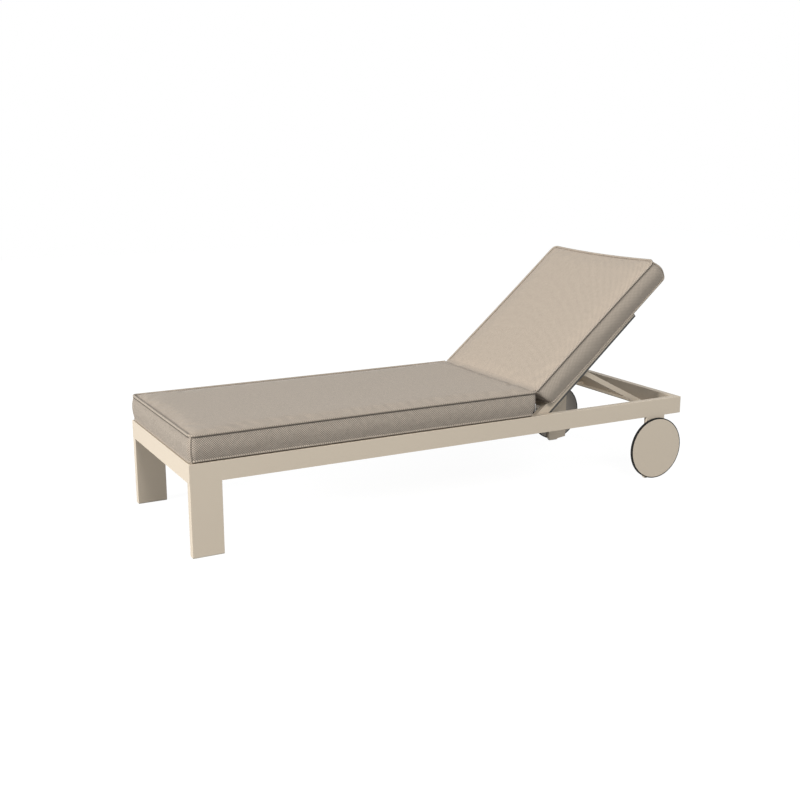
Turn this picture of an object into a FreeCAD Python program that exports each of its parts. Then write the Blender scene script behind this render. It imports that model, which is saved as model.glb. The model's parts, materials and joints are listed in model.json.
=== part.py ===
import FreeCAD, Part
import math
import os

# Outdoor sun lounger: a mitred tube frame on two blade legs and two disc wheels,
# with a slatted deck, a reclining slatted back held by a toothed prop, and a two-part mattress.
# Millimetres. X is the width, Y runs from the foot end to the head end, Z is up from the floor.

V = FreeCAD.Vector
X_AXIS = V(1, 0, 0)

# Frame
LENGTH = 2000.0
WIDTH = 650.0
FRAME_TOP = 312.0
RAIL_HEIGHT = 65.0
RAIL_THICK = 25.0
RAIL_WALL = 2.5
EDGE_RADIUS = 1.5
REAR_LEDGE_DEPTH = 28.0
LEDGE_THICK = 3.0

# Blade legs at the foot end
LEG_WIDTH = 107.0
GLIDE_HEIGHT = 3.0
GLIDE_INSET = 1.0
GLIDE_PLUG = 12.0
PLUG_CLEARANCE = 0.2

# Wheels and their brackets at the head end
WHEEL_DIAMETER = 240.0
WHEEL_FROM_END = 122.0
WHEEL_CORE_THICK = 8.0
WHEEL_COVER_THICK = 2.4
WHEEL_GAP = 3.0
TYRE_THICK = 4.0
TYRE_SETBACK = 0.8
BRACKET_THICK = 15.0
BRACKET_WIDTH = 89.0
BRACKET_FROM_END = 78.0
BRACKET_FOOT_FROM = 5.0
BRACKET_FOOT_WIDTH = 42.0
BRACKET_TIP_LOW = 5.0
BRACKET_TIP_HIGH = 10.0
AXLE_RADIUS = 5.0
AXLE_HEAD_RADIUS = 9.0
AXLE_HEAD_HEIGHT = 6.0
AXLE_NUT_RADIUS = 9.0
AXLE_NUT_HEIGHT = 3.6
BUSH_WALL = 2.0
RUNNING = 0.05
SEAT_FIT = 0.02
SIDE_PLAY = 0.3
CUT_PAST = 1.0

# Seat deck
SLAT_COUNT = 9
SLAT_WIDTH = 100.0
SLAT_HEIGHT = 12.0
SLAT_WALL = 2.5
SLAT_ROUND = 2.0
SLAT_END_GAP = 0.3
ANGLE_LEG = 20.0
ANGLE_THICK = 2.5
CROSSBAR_THICK = 25.0
CROSSBAR_HEIGHT = 40.0
CROSSBAR_WALL = 2.0
CROSSBAR_FROM_HINGE = 56.0

# Reclining back, drawn flat from its hinge and then tilted
HINGE_FROM_END = 656.0
RECLINE_ANGLE = 41.2
RECLINE_UP_ANGLE = 20.0
HINGE_DROP = 25.0
ARM_DEPTH = 34.0
ARM_THICK = 20.0
ARM_WALL = 2.0
ARM_STRIP_HEIGHT = 8.0
ARM_LENGTH = 560.0
ARM_SIDE_GAP = 2.0
ARM_SOLID_END = 38.0
CAP_THICK = 3.0
CAP_PLUG = 10.0
PIN_RADIUS = 5.0
PIN_HEAD_RADIUS = 10.0
PIN_HEAD_HEIGHT = 6.0
TOP_TUBE = 25.0
TOP_TUBE_FROM_END = 8.0
BOTTOM_TUBE = 25.0
BOTTOM_TUBE_AT = 45.0
BACK_SLAT_COUNT = 4
BACK_SLAT_WIDTH = 84.0
BACK_STRIP_WIDTH = 12.0
BACK_STRIP_THICK = 3.0

# Prop that holds the back up, and the toothed racks under its feet
PROP_LENGTH = 351.0
FOOT_FROM_RAIL = 23.5
FOOT_RISE = 47.75
FOOT_RISE_FLAT = 21.6
PROP_DEPTH = 18.0
PROP_THICK = 12.0
PROP_SIDE = 20.0
PROP_PIN_RADIUS = 4.0
PROP_PIN_SHOULDER = 7.0
PROP_PIN_HEAD_RADIUS = 8.0
PROP_PIN_HEAD_HEIGHT = 3.0
PROP_CROSSBAR_RADIUS = 7.0
PROP_CROSSBAR_AT = 80.0
FOOT_RADIUS = 7.0
FOOT_GAP = 4.0
FOOT_WIDTH = 12.0
RACK_THICK = 3.0
RACK_INSET = 3.0
RACK_LIP = 10.0
RACK_CLEARANCE = 0.5
NOTCH_DROP = 5.0
NOTCH_STEP_ANGLE = 10.0
NOTCH_COUNT = 5
PATH_STEP_ANGLE = 0.1
RACK_END = 26.0

# Mattress
SEAT_PAD_FROM_HINGE = 40.0
SEAT_PAD_FROM_FRONT = 6.0
SEAT_PAD_BORDER = 88.0
BACK_PAD_START = 48.0
BACK_PAD_END = 738.0
BACK_PAD_BORDER = 80.0
BACK_PAD_SKEW = 26.0
PAD_GAP = 1.0
PAD_CROWN = 8.0
PAD_SHOULDER_CROWN = 6.4
PAD_END_CROWN = 3.0
PAD_DRAW_IN = 4.0
PAD_SIDE_BULGE = 3.0
PAD_SHOULDER_SHARE = 0.12

# Derived places
half_width = WIDTH / 2
half_length = LENGTH / 2
rail_bottom = FRAME_TOP - RAIL_HEIGHT
rail_inner = half_width - RAIL_THICK
hinge_y = half_length - HINGE_FROM_END
hinge_z = FRAME_TOP - HINGE_DROP
arm_low = HINGE_DROP - ARM_DEPTH
strip_low = arm_low - ARM_STRIP_HEIGHT
arm_outer = rail_inner - ARM_SIDE_GAP
arm_inner = arm_outer - ARM_THICK
prop_outer = arm_inner - PROP_SIDE
prop_inner = prop_outer - PROP_THICK
wheel_y = half_length - WHEEL_FROM_END
wheel_z = WHEEL_DIAMETER / 2
wheel_inner = half_width + WHEEL_GAP
wheel_face = wheel_inner + WHEEL_CORE_THICK
bush_outer = AXLE_RADIUS + RUNNING + BUSH_WALL
crossbar_front = hinge_y - CROSSBAR_FROM_HINGE
crossbar_rear = crossbar_front + CROSSBAR_THICK
slat_seat_z = FRAME_TOP - SLAT_HEIGHT
foot_inner = prop_outer + FOOT_GAP
rack_web_inner = foot_inner + RACK_INSET
rack_base = rail_bottom + LEDGE_THICK
rear_inner = half_length - RAIL_THICK
flat_drop = hinge_z - rail_bottom - FOOT_RISE_FLAT
prop_pivot = rear_inner - FOOT_FROM_RAIL - hinge_y - math.sqrt(PROP_LENGTH**2 - flat_drop**2)
prop_flat_angle = -math.degrees(math.asin(flat_drop / PROP_LENGTH))
raised_drop = flat_drop + FOOT_RISE_FLAT - FOOT_RISE + prop_pivot * math.sin(math.radians(RECLINE_ANGLE))
prop_angle = -math.degrees(math.asin(raised_drop / PROP_LENGTH))


def box(x0, x1, y0, y1, z0, z1):
    return Part.makeBox(x1 - x0, y1 - y0, z1 - z0, V(x0, y0, z0))


def prism(points, direction):
    """A closed outline of points, pushed along a direction."""
    return Part.Face(Part.makePolygon(points + points[:1])).extrude(direction)


def rod(x0, x1, radius, y=0.0, z=0.0):
    """A round rod along X."""
    return Part.makeCylinder(radius, x1 - x0, V(x0, y, z), X_AXIS)


def stepped_rod(steps, y=0.0, z=0.0):
    """Rods end to end along X, from (start, end, radius) steps."""
    first, *others = [rod(*step, y, z) for step in steps]
    return first.fuse(others).removeSplitter()


def hexagon(x0, x1, radius, y, z):
    """A six-sided bolt head or nut along X."""
    corners = [math.radians(60 * number) for number in range(6)]
    points = [V(x0, y + radius * math.cos(turn), z + radius * math.sin(turn)) for turn in corners]
    return prism(points, V(x1 - x0, 0, 0))


def round_edges(shape, axis, radius, above=0.0):
    """Rounds the straight edges that run along one axis, from a height upwards."""
    edges = [
        edge
        for edge in shape.Edges
        if isinstance(edge.Curve, Part.Line)
        and abs(edge.Curve.Direction.dot(axis)) > 0.999
        and edge.BoundBox.ZMin >= above
    ]
    return shape.makeFillet(radius, edges)


def save(name, shape):
    solids = shape.Solids
    result = solids[0] if len(solids) == 1 else Part.makeCompound(solids)
    result.exportStep("parts/" + name + ".step")
    print(name, len(solids), "solid", round(result.Volume / 1000, 1), "cm3")


def other_side(shape):
    return shape.mirror(V(0, 0, 0), X_AXIS)


def save_both(name, shape):
    save(name + "_right", shape)
    save(name + "_left", other_side(shape))


def save_pair(name, shape):
    """Two like fasteners, one on each side, in one group."""
    save(name, Part.makeCompound(shape.Solids + other_side(shape).Solids))


def tilted(shape):
    """Takes a piece of the back from its flat drawing to its place on the hinge."""
    placed = shape.copy()
    placed.rotate(V(0, 0, 0), X_AXIS, RECLINE_ANGLE)
    placed.translate(V(0, hinge_y, hinge_z))
    return placed


def prop_pivot_at(angle):
    turn = math.radians(angle)
    return hinge_y + prop_pivot * math.cos(turn), hinge_z + prop_pivot * math.sin(turn)


def prop_angle_at(angle):
    return prop_flat_angle + (prop_angle - prop_flat_angle) * angle / RECLINE_ANGLE


def prop_foot_at(angle):
    """Where the prop's foot is when the back stands at an angle."""
    pivot_y, pivot_z = prop_pivot_at(angle)
    turn = math.radians(prop_angle_at(angle))
    return pivot_y + PROP_LENGTH * math.cos(turn), pivot_z + PROP_LENGTH * math.sin(turn)


def on_prop(shape):
    """Takes a prop piece, drawn along Y from its pivot, to its place."""
    placed = shape.copy()
    placed.rotate(V(0, 0, 0), X_AXIS, prop_angle)
    placed.translate(V(0, *prop_pivot_at(RECLINE_ANGLE)))
    return placed


def hinge_rivet():
    """Headed pin from the arm's inner side into the rail's inner wall."""
    head = arm_inner - SIDE_PLAY
    steps = [
        (head - PIN_HEAD_HEIGHT, head, PIN_HEAD_RADIUS),
        (head, rail_inner + RAIL_WALL, PIN_RADIUS),
    ]
    return stepped_rod(steps, hinge_y, hinge_z)


def mitred(length, width):
    """A rail tube along Y on the right side of a frame, cut at 45 degrees at both ends."""
    def plan(inset, z):
        outer = width - inset
        inner = width - RAIL_THICK + inset
        end = length - width
        return [
            V(outer, -(end + outer), z),
            V(outer, end + outer, z),
            V(inner, end + inner, z),
            V(inner, -(end + inner), z),
        ]

    along = V(0, 1, 0)
    outside = prism(plan(0, rail_bottom), V(0, 0, RAIL_HEIGHT))
    inside = prism(plan(RAIL_WALL, rail_bottom + RAIL_WALL), V(0, 0, RAIL_HEIGHT - 2 * RAIL_WALL))
    return round_edges(outside, along, EDGE_RADIUS, rail_bottom + EDGE_RADIUS).cut(inside)


def make_rails():
    side = mitred(half_length, half_width)
    wall = (rail_inner - CUT_PAST, rail_inner + RAIL_WALL + CUT_PAST)
    side = side.cut(rod(*wall, PIN_RADIUS + SEAT_FIT, hinge_y, hinge_z))
    save_both("side_rail", side)
    cross = mitred(half_width, half_length)
    for name, turn in (("rear_rail", 90), ("front_rail", -90)):
        rail = cross.copy()
        rail.rotate(V(0, 0, 0), V(0, 0, 1), turn)
        save(name, rail)
    ledge = box(-rail_inner, rail_inner, rear_inner - REAR_LEDGE_DEPTH, rear_inner, rail_bottom, rack_base)
    save("rear_ledge", ledge)


def make_legs():
    front = -half_length
    back = front + LEG_WIDTH
    leg = box(rail_inner, half_width, front, back, GLIDE_HEIGHT, rail_bottom)
    leg = round_edges(leg, V(0, 0, 1), EDGE_RADIUS)
    inside = [rail_inner + RAIL_WALL, half_width - RAIL_WALL, front + RAIL_WALL, back - RAIL_WALL]
    leg = leg.cut(box(*inside, 0, rail_bottom - RAIL_WALL))
    save_both("front_leg", leg)
    x0, x1, y0, y1 = inside
    plug = box(x0 + PLUG_CLEARANCE, x1 - PLUG_CLEARANCE, y0 + PLUG_CLEARANCE, y1 - PLUG_CLEARANCE,
               GLIDE_HEIGHT, GLIDE_HEIGHT + GLIDE_PLUG)
    pad = box(rail_inner + GLIDE_INSET, half_width - GLIDE_INSET,
              front + GLIDE_INSET, back - GLIDE_INSET, 0, GLIDE_HEIGHT)
    save_both("leg_glide", pad.fuse(plug).removeSplitter())


def make_brackets():
    """Plates under the head end that carry the wheels and stand on a small foot."""
    back = half_length - BRACKET_FROM_END
    front = back - BRACKET_WIDTH
    foot = front + BRACKET_FOOT_FROM
    heel = foot + BRACKET_FOOT_WIDTH
    inner = half_width - BRACKET_THICK
    outline = [
        V(inner, front, rail_bottom),
        V(inner, front, BRACKET_TIP_HIGH),
        V(inner, foot, GLIDE_HEIGHT),
        V(inner, heel, GLIDE_HEIGHT),
        V(inner, heel, BRACKET_TIP_LOW),
        V(inner, back, BRACKET_TIP_HIGH),
        V(inner, back, rail_bottom),
    ]
    plate = prism(outline, V(BRACKET_THICK, 0, 0))
    plate = round_edges(plate, V(0, 0, 1), EDGE_RADIUS)
    hole = rod(inner - CUT_PAST, half_width + CUT_PAST, AXLE_RADIUS + SEAT_FIT, wheel_y, wheel_z)
    save_both("wheel_bracket", plate.cut(hole))
    pad = box(inner + GLIDE_INSET, half_width - GLIDE_INSET,
              foot + GLIDE_INSET, heel - GLIDE_INSET, 0, GLIDE_HEIGHT)
    save_both("bracket_foot", pad)
    at = (wheel_y, wheel_z)
    nut_end = wheel_face - SIDE_PLAY
    nut_start = nut_end - AXLE_NUT_HEIGHT
    head = hexagon(inner - AXLE_HEAD_HEIGHT, inner, AXLE_HEAD_RADIUS, *at)
    nut = hexagon(nut_start, nut_end, AXLE_NUT_RADIUS, *at)
    save_pair("axle_bolts", rod(inner, nut_start, AXLE_RADIUS, *at).fuse([head, nut]).removeSplitter())


def make_wheels():
    """Thin disc wheels: a core on a plain bush, a flat cover and a rubber band."""
    core_radius = wheel_z - TYRE_THICK
    pocket_floor = wheel_face - AXLE_NUT_HEIGHT - 2 * SIDE_PLAY
    at = (wheel_y, wheel_z)
    bush_start = half_width + SIDE_PLAY
    core = rod(wheel_inner, wheel_face, core_radius, *at)
    core = core.cut(rod(wheel_inner, wheel_face, bush_outer + SEAT_FIT, *at))
    core = core.cut(rod(pocket_floor, wheel_face, AXLE_NUT_RADIUS + BUSH_WALL, *at))
    save_both("wheel_core", core)
    bush = rod(bush_start, pocket_floor, bush_outer, *at)
    save_both("wheel_bush", bush.cut(rod(bush_start, pocket_floor, AXLE_RADIUS + RUNNING, *at)))
    cover_face = wheel_face + WHEEL_COVER_THICK
    save_both("wheel_cover", rod(wheel_face, cover_face, core_radius, *at))
    tyre = rod(wheel_inner, cover_face - TYRE_SETBACK, wheel_z, *at)
    tyre = tyre.cut(rod(wheel_inner, cover_face, core_radius + SEAT_FIT, *at))
    save_both("wheel_tyre", tyre)


def channel_slat(half_span, y0, width, top):
    """A folded slat along X: a flat top with a lip turned down at each long edge."""
    slat = box(-half_span, half_span, y0, y0 + width, top - SLAT_HEIGHT, top)
    upper = [
        edge
        for edge in slat.Edges
        if abs(edge.CenterOfMass.z - top) < 0.01 and abs(edge.CenterOfMass.x) < 0.01
    ]
    slat = slat.makeFillet(SLAT_ROUND, upper)
    hollow = box(-half_span, half_span, y0 + SLAT_WALL, y0 + width - SLAT_WALL,
                 top - SLAT_HEIGHT, top - SLAT_WALL)
    return slat.cut(hollow)


def make_deck():
    front = -half_length + RAIL_THICK
    ledge = box(rail_inner - ANGLE_LEG, rail_inner, front, crossbar_front,
                slat_seat_z - ANGLE_THICK, slat_seat_z)
    upright = box(rail_inner - ANGLE_THICK, rail_inner, front, crossbar_front,
                  slat_seat_z - ANGLE_LEG, slat_seat_z - ANGLE_THICK)
    save_both("slat_ledge", ledge.fuse(upright).removeSplitter())
    pitch = (crossbar_front - front) / SLAT_COUNT
    for number in range(SLAT_COUNT):
        start = front + pitch * number + (pitch - SLAT_WIDTH) / 2
        slat = channel_slat(rail_inner - SLAT_END_GAP, start, SLAT_WIDTH, FRAME_TOP)
        save("seat_slat_%d" % (number + 1), slat)
    bar = box(-rail_inner, rail_inner, crossbar_front, crossbar_rear, FRAME_TOP - CROSSBAR_HEIGHT, FRAME_TOP)
    hollow = box(-rail_inner, rail_inner, crossbar_front + CROSSBAR_WALL, crossbar_rear - CROSSBAR_WALL,
                 FRAME_TOP - CROSSBAR_HEIGHT + CROSSBAR_WALL, FRAME_TOP - CROSSBAR_WALL)
    save("seat_crossbar", bar.cut(hollow))
    save_pair("hinge_rivets", hinge_rivet())


def make_back_frame():
    """Side arms with round hinge eyes and edge strips, cross tubes, ledges and slats, all drawn flat."""
    end = ARM_LENGTH - CAP_THICK
    arm = box(arm_inner, arm_outer, 0, end, arm_low, HINGE_DROP)
    arm = arm.fuse(rod(arm_inner, arm_outer, HINGE_DROP)).removeSplitter()
    inside = [arm_inner + ARM_WALL, arm_outer - ARM_WALL, arm_low + ARM_WALL, HINGE_DROP - ARM_WALL]
    arm = arm.cut(box(inside[0], inside[1], ARM_SOLID_END, end, inside[2], inside[3]))
    arm = arm.cut(rod(arm_inner, arm_outer, bush_outer + SEAT_FIT))
    save_both("back_arm", tilted(arm))
    save_both("arm_strip", tilted(box(arm_inner, arm_outer, HINGE_DROP, end, strip_low, arm_low)))
    cap = box(arm_inner, arm_outer, end, ARM_LENGTH, strip_low, HINGE_DROP)
    plug = box(inside[0] + PLUG_CLEARANCE, inside[1] - PLUG_CLEARANCE, end - CAP_PLUG, end + CAP_THICK / 2,
               inside[2] + PLUG_CLEARANCE, inside[3] - PLUG_CLEARANCE)
    save_both("arm_cap", tilted(cap.fuse(plug).removeSplitter()))
    bush = rod(arm_inner, rail_inner - SIDE_PLAY, bush_outer)
    save_pair("hinge_bushes", tilted(bush.cut(rod(arm_inner, rail_inner, PIN_RADIUS + RUNNING))))
    strip_top = HINGE_DROP - SLAT_HEIGHT
    top_tube_end = ARM_LENGTH - TOP_TUBE_FROM_END
    top_tube_start = top_tube_end - TOP_TUBE
    slats_start = BOTTOM_TUBE_AT + BOTTOM_TUBE
    for name, start, low, size in (
        ("back_top_tube", top_tube_start, HINGE_DROP - TOP_TUBE, TOP_TUBE),
        ("back_bottom_tube", BOTTOM_TUBE_AT, HINGE_DROP - BOTTOM_TUBE, BOTTOM_TUBE),
    ):
        tube = box(-arm_inner, arm_inner, start, start + size, low, low + size)
        bore = box(-arm_inner, arm_inner, start + ARM_WALL, start + size - ARM_WALL,
                   low + ARM_WALL, low + size - ARM_WALL)
        save(name, tilted(tube.cut(bore)))
    strip = box(arm_inner - BACK_STRIP_WIDTH, arm_inner, slats_start, top_tube_start,
                strip_top - BACK_STRIP_THICK, strip_top)
    save_both("back_strip", tilted(strip))
    pitch = (top_tube_start - slats_start) / BACK_SLAT_COUNT
    for number in range(BACK_SLAT_COUNT):
        start = slats_start + pitch * number + (pitch - BACK_SLAT_WIDTH) / 2
        slat = channel_slat(arm_inner - SLAT_END_GAP, start, BACK_SLAT_WIDTH, HINGE_DROP)
        save("back_slat_%d" % (number + 1), tilted(slat))
    head = prop_inner - SIDE_PLAY
    pin = stepped_rod(
        [
            (head - PROP_PIN_HEAD_HEIGHT, head, PROP_PIN_HEAD_RADIUS),
            (head, prop_outer + SIDE_PLAY, PROP_PIN_RADIUS),
            (prop_outer + SIDE_PLAY, arm_inner, PROP_PIN_SHOULDER),
        ],
        prop_pivot,
    )
    save_pair("prop_pins", tilted(pin))


def make_prop():
    """A folding prop: two flat bars with round ends, a cross tube and a foot peg on each bar."""
    half = PROP_DEPTH / 2
    bar = box(prop_inner, prop_outer, 0, PROP_LENGTH, -half, half)
    bar = bar.fuse([rod(prop_inner, prop_outer, half), rod(prop_inner, prop_outer, half, PROP_LENGTH)])
    bar = bar.removeSplitter()
    bar = bar.cut(rod(prop_inner, prop_outer, PROP_PIN_RADIUS + RUNNING))
    bar = bar.cut(rod(prop_inner, prop_outer, FOOT_RADIUS + SEAT_FIT, PROP_LENGTH))
    save_both("prop_arm", on_prop(bar))
    tube = rod(-prop_inner, prop_inner, PROP_CROSSBAR_RADIUS, PROP_CROSSBAR_AT)
    bore = rod(-prop_inner, prop_inner, PROP_CROSSBAR_RADIUS - ARM_WALL, PROP_CROSSBAR_AT)
    save("prop_crossbar", on_prop(tube.cut(bore)))
    foot = rod(prop_inner, foot_inner + FOOT_WIDTH, FOOT_RADIUS, PROP_LENGTH)
    save_both("prop_foot", on_prop(foot))


def notch_angles():
    """The back's stops: the shown one, those below it and those above it, a step apart."""
    top = RECLINE_ANGLE + RECLINE_UP_ANGLE
    return [top - NOTCH_STEP_ANGLE * number for number in range(NOTCH_COUNT)]


def rack_crest(angle):
    """A point of the rack's top edge, square below the path of the prop's foot."""
    y, z = prop_foot_at(angle)
    next_y, next_z = prop_foot_at(angle + PATH_STEP_ANGLE)
    away = V(0, next_z - z, y - next_y).normalize()
    if away.z > 0:
        away = away * -1
    return V(0, y, z) + away * (FOOT_RADIUS + RACK_CLEARANCE)


def make_racks():
    """Folded racks with a toothed web, their teeth just under the path of the prop's feet."""
    stops = notch_angles()
    front = prop_foot_at(stops[0])[0] - RACK_END
    crests = [rack_crest(angle) for angle in stops + [stops[-1] - NOTCH_STEP_ANGLE / 2]]
    rest_z = prop_foot_at(0)[1] - FOOT_RADIUS - RACK_CLEARANCE
    outline = [V(0, front, rack_base), V(0, front, crests[0].z)]
    outline += crests
    outline += [V(0, crests[-1].y, rest_z), V(0, rear_inner, rest_z), V(0, rear_inner, rack_base)]
    web = prism(outline, V(RACK_THICK, 0, 0))
    web.translate(V(rack_web_inner, 0, 0))
    for angle in stops:
        y, z = prop_foot_at(angle)
        web = web.cut(rod(rack_web_inner, rack_web_inner + RACK_THICK, FOOT_RADIUS, y, z - NOTCH_DROP))
    floor = box(rack_web_inner, rail_inner, front, rear_inner, rack_base, rack_base + RACK_THICK)
    lip = box(rail_inner - RACK_THICK, rail_inner, front, rear_inner, rack_base, rack_base + RACK_LIP)
    rack = web.fuse([floor, lip]).removeSplitter()
    save_both("prop_rack", rack)


def pad_section(along, half, low, border, crown, lean):
    """One closed outline across a pad: flat base, swelling sides and a crowned top."""
    side = half - PAD_SIDE_BULGE

    def at(x, rise):
        return V(x, along + lean * (1 - rise / border), low + rise)

    base = Part.makeLine(at(-side, 0), at(side, 0))
    right = Part.Arc(at(side, 0), at(half, border / 2), at(side, border)).toShape()
    top = Part.Arc(at(side, border), at(0, border + crown), at(-side, border)).toShape()
    left = Part.Arc(at(-side, border), at(-half, border / 2), at(-side, 0)).toShape()
    return Part.Wire([base, right, top, left])


def pad(start, end, low, border, lean):
    """A box cushion along Y, crowned on top and drawn in a little between its corners."""
    length = end - start
    sections = []
    for share, drawn, crown in (
        (0, 0, PAD_END_CROWN),
        (PAD_SHOULDER_SHARE, PAD_DRAW_IN / 2, PAD_SHOULDER_CROWN),
        (0.5, PAD_DRAW_IN, PAD_CROWN),
        (1 - PAD_SHOULDER_SHARE, PAD_DRAW_IN / 2, PAD_SHOULDER_CROWN),
        (1, 0, PAD_END_CROWN),
    ):
        skew = lean * max(0, 1 - share * 2)
        sections.append(pad_section(start + length * share, half_width - drawn, low, border, crown, skew))
    return Part.makeLoft(sections, True, False)


def make_pads():
    start = SEAT_PAD_FROM_FRONT - half_length
    seat = pad(start, hinge_y - SEAT_PAD_FROM_HINGE, FRAME_TOP, SEAT_PAD_BORDER, 0)
    save("seat_cushion", seat)
    back = pad(BACK_PAD_START, BACK_PAD_END, HINGE_DROP + PAD_GAP, BACK_PAD_BORDER, BACK_PAD_SKEW)
    save("back_cushion", tilted(back))


os.makedirs("parts", exist_ok=True)
make_rails()
make_legs()
make_brackets()
make_wheels()
make_deck()
make_back_frame()
make_prop()
make_racks()
make_pads()
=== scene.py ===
# %% [markdown]
# # A sun lounger, dressed from its construction model
#
# The rigid pieces of this lounger come ready from the construction model: the mitred tube frame,
# the blade legs, the wheels, the slatted deck, the tilting back and its folding prop. This lesson
# gives them their finishes and makes what a construction model leaves out: the stuffed mattress
# with its piped edges, the zips and the screws. Everything is in metres and shares one frame: X is
# the width, Y runs from the foot end to the head end, Z is up.

import json
import math

import bpy
import numpy as np
from mathutils import Matrix, Vector


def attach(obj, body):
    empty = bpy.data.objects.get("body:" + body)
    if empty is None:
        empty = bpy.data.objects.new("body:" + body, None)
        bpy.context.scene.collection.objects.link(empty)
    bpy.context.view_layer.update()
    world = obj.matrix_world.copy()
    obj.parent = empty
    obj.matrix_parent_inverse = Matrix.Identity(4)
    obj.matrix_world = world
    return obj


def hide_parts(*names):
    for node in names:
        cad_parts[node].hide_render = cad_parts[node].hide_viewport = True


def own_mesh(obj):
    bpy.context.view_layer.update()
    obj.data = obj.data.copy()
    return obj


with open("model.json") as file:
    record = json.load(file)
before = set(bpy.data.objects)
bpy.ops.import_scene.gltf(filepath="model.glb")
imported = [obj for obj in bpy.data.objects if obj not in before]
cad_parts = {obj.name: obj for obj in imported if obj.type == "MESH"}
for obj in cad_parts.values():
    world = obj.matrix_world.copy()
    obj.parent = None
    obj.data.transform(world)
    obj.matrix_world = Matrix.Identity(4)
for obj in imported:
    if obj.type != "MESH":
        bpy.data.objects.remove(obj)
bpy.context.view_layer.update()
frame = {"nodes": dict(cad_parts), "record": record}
nodes = frame["nodes"]

# %% [markdown]
# ## The room
#
# A catalogue picture has no visible room: the object stands on a floor that melts into a white
# background. The floor could be a curved paper sweep, but a flat plane that adds its own glow for
# the camera alone looks the same and still takes the soft shadows under the legs and wheels. Light
# that bounces sees an ordinary pale floor, so the undersides of the rails are lit as they would be
# in a studio.

# %% The floor
FLOOR_HALF = 9.0
FLOOR_BOUNCE = (0.35, 0.35, 0.345, 1)
FLOOR_SHOWN = (0.13, 0.13, 0.13, 1)
FLOOR_GLOW = 0.95
WHITE = (1.0, 1.0, 1.0, 1.0)


def new_material(name):
    material = bpy.data.materials.new(name)
    material.use_nodes = True
    material.node_tree.nodes.clear()
    return material, material.node_tree.nodes, material.node_tree.links


def seen_directly(nodes, links):
    """A mask of rays that come straight from the lens or by way of a shiny or clear surface."""
    path = nodes.new("ShaderNodeLightPath")
    mask = path.outputs["Is Camera Ray"]
    for ray in ("Is Glossy Ray", "Is Transmission Ray"):
        either = nodes.new("ShaderNodeMath")
        either.operation = "MAXIMUM"
        links.new(mask, either.inputs[0])
        links.new(path.outputs[ray], either.inputs[1])
        mask = either.outputs[0]
    return mask


def shown_apart(nodes, links, for_light, for_lens, output):
    """Joins two shaders: one that bouncing light meets, and one that the lens sees."""
    mix = nodes.new("ShaderNodeMixShader")
    links.new(seen_directly(nodes, links), mix.inputs[0])
    links.new(for_light.outputs[0], mix.inputs[1])
    links.new(for_lens.outputs[0], mix.inputs[2])
    links.new(mix.outputs[0], nodes.new(output).inputs["Surface"])


def make_floor():
    mesh = bpy.data.meshes.new("floor")
    corners = [(x * FLOOR_HALF, y * FLOOR_HALF, 0.0) for x, y in ((-1, -1), (1, -1), (1, 1), (-1, 1))]
    mesh.from_pydata(corners, [], [(0, 1, 2, 3)])
    floor = bpy.data.objects.new("floor", mesh)
    bpy.context.scene.collection.objects.link(floor)
    material, nodes, links = new_material("pale floor")
    bounce = nodes.new("ShaderNodeBsdfDiffuse")
    bounce.inputs["Color"].default_value = FLOOR_BOUNCE
    shadow = nodes.new("ShaderNodeBsdfDiffuse")
    shadow.inputs["Color"].default_value = FLOOR_SHOWN
    glow = nodes.new("ShaderNodeEmission")
    glow.inputs["Color"].default_value = WHITE
    glow.inputs["Strength"].default_value = FLOOR_GLOW
    shown = nodes.new("ShaderNodeAddShader")
    links.new(shadow.outputs[0], shown.inputs[0])
    links.new(glow.outputs[0], shown.inputs[1])
    shown_apart(nodes, links, bounce, shown, "ShaderNodeOutputMaterial")
    mesh.materials.append(material)


make_floor()
print("floor of", 2 * FLOOR_HALF, "m")

# %% [markdown]
# The surroundings are made the same way. The lens sees plain white, while the light that comes from
# all round is dim and a little blue, so that shaded faces look cooler than lit ones.

# %% The white surroundings
ROOM_TINT = (0.86, 0.935, 1.0, 1)
ROOM_STRENGTH = 0.325


def make_surroundings():
    world = bpy.data.worlds.new("studio")
    world.use_nodes = True
    tree = world.node_tree
    tree.nodes.clear()
    soft = tree.nodes.new("ShaderNodeBackground")
    soft.inputs["Color"].default_value = ROOM_TINT
    soft.inputs["Strength"].default_value = ROOM_STRENGTH
    white = tree.nodes.new("ShaderNodeBackground")
    white.inputs["Color"].default_value = WHITE
    white.inputs["Strength"].default_value = 1.0
    shown_apart(tree.nodes, tree.links, soft, white, "ShaderNodeOutputWorld")
    bpy.context.scene.world = world


make_surroundings()
bpy.context.scene.view_settings.view_transform = "Standard"
print("a white background, lit at", ROOM_STRENGTH)

# %% [markdown]
# The photograph's light falls mostly on the foot end: that face is the brightest, the raised back
# comes next, then the deck and the long side. A large soft lamp beyond the foot end, at a low
# angle, gives this order, and it stands far off so that the head end gets nearly as much of it as
# the foot end. A second lamp, high on the near side, lights the deck and the long side and leaves
# the places under the frame dark.

# %% The lamps
MIDDLE = Vector((0, 0, 0.4))
LAMP_TINT = (1.0, 0.98, 0.94)


def make_lamp(name, place, aim, size, share):
    """A square lamp that lights a surface facing it, at its aim, to a share of its written colour."""
    reach = place - aim
    data = bpy.data.lights.new(name, "AREA")
    data.shape = "SQUARE"
    data.size = size
    data.color = LAMP_TINT
    data.energy = share * math.pi**2 * reach.length_squared
    lamp = bpy.data.objects.new(name, data)
    lamp.location = place
    lamp.rotation_euler = reach.to_track_quat("Z", "Y").to_euler()
    bpy.context.scene.collection.objects.link(lamp)
    return lamp


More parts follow.
